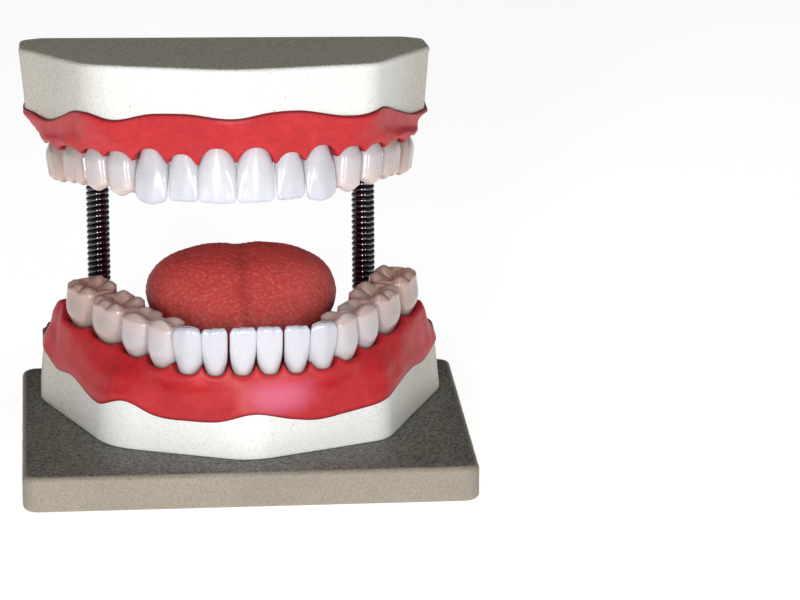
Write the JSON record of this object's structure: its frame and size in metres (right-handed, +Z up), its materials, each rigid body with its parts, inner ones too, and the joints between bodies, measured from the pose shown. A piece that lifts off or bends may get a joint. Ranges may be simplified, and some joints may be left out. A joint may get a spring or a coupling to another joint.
{
  "type": "typodont model",
  "caption": "Oversize pair of demonstration jaws with separate teeth, gums and a tongue; the upper jaw tilts and sways on two coil springs above a base plate.",
  "frame": {"origin": "centre of the pad under the base plate, on the surface the model stands on", "axes": "+Z up; the teeth's front faces -Y, so +Y points to the springs at the back; +X to the viewer's right when facing the front teeth. Left in a node's name is the viewer's left, -X."},
  "size_m": [0.24, 0.192, 0.2303],
  "materials": {
    "plate": "speckled hammered paint",
    "cork": "matt pad",
    "stone": "matt cast resin with a fine speckle",
    "gum": "satin red resin",
    "tongue": "pebbled red resin",
    "enamel": "glossy tooth resin",
    "spring_steel": "bright spring wire",
    "fasteners": "zinc-plated steel"
  },
  "bodies": {
    "base": {"base_pad": "cork", "base_plate": "plate", "jaw_mounting_screws": "fasteners", "lower_jaw_block": "stone", "lower_gum": "gum", "tongue": "tongue", "tongue_screw": "fasteners", "lower_spring_studs": "fasteners", "lower_set_screws": "fasteners", "lower_left_central_incisor": "enamel", "lower_left_lateral_incisor": "enamel", "lower_left_canine": "enamel", "lower_left_first_premolar": "enamel", "lower_left_second_premolar": "enamel", "lower_left_first_molar": "enamel", "lower_left_second_molar": "enamel", "lower_right_central_incisor": "enamel", "lower_right_lateral_incisor": "enamel", "lower_right_canine": "enamel", "lower_right_first_premolar": "enamel", "lower_right_second_premolar": "enamel", "lower_right_first_molar": "enamel", "lower_right_second_molar": "enamel"},
    "springs": {"left_spring": "spring_steel", "right_spring": "spring_steel"},
    "upper_jaw": {"upper_jaw_block": "stone", "upper_gum": "gum", "palate_screws": "fasteners", "upper_spring_studs": "fasteners", "upper_set_screws": "fasteners", "upper_left_central_incisor": "enamel", "upper_left_lateral_incisor": "enamel", "upper_left_canine": "enamel", "upper_left_first_premolar": "enamel", "upper_left_second_premolar": "enamel", "upper_left_first_molar": "enamel", "upper_left_second_molar": "enamel", "upper_right_central_incisor": "enamel", "upper_right_lateral_incisor": "enamel", "upper_right_canine": "enamel", "upper_right_first_premolar": "enamel", "upper_right_second_premolar": "enamel", "upper_right_first_molar": "enamel", "upper_right_second_molar": "enamel"}
  },
  "joints": [
    {"name": "jaw_sway", "type": "slide", "parent": "base", "child": "springs", "axis": [1, 0, 0], "range_m": [-0.008, 0.008], "stiffness_N_per_m": 2000, "deforming": ["left_spring", "right_spring"]},
    {"name": "jaw_tilt", "type": "hinge", "parent": "springs", "child": "upper_jaw", "pos_m": [0, 0.07, 0.1135], "axis": [1, 0, 0], "range_deg": [-20, 26], "stiffness_Nm_per_rad": 2, "springref_deg": -10.31, "deforming": ["left_spring", "right_spring"]}
  ]
}
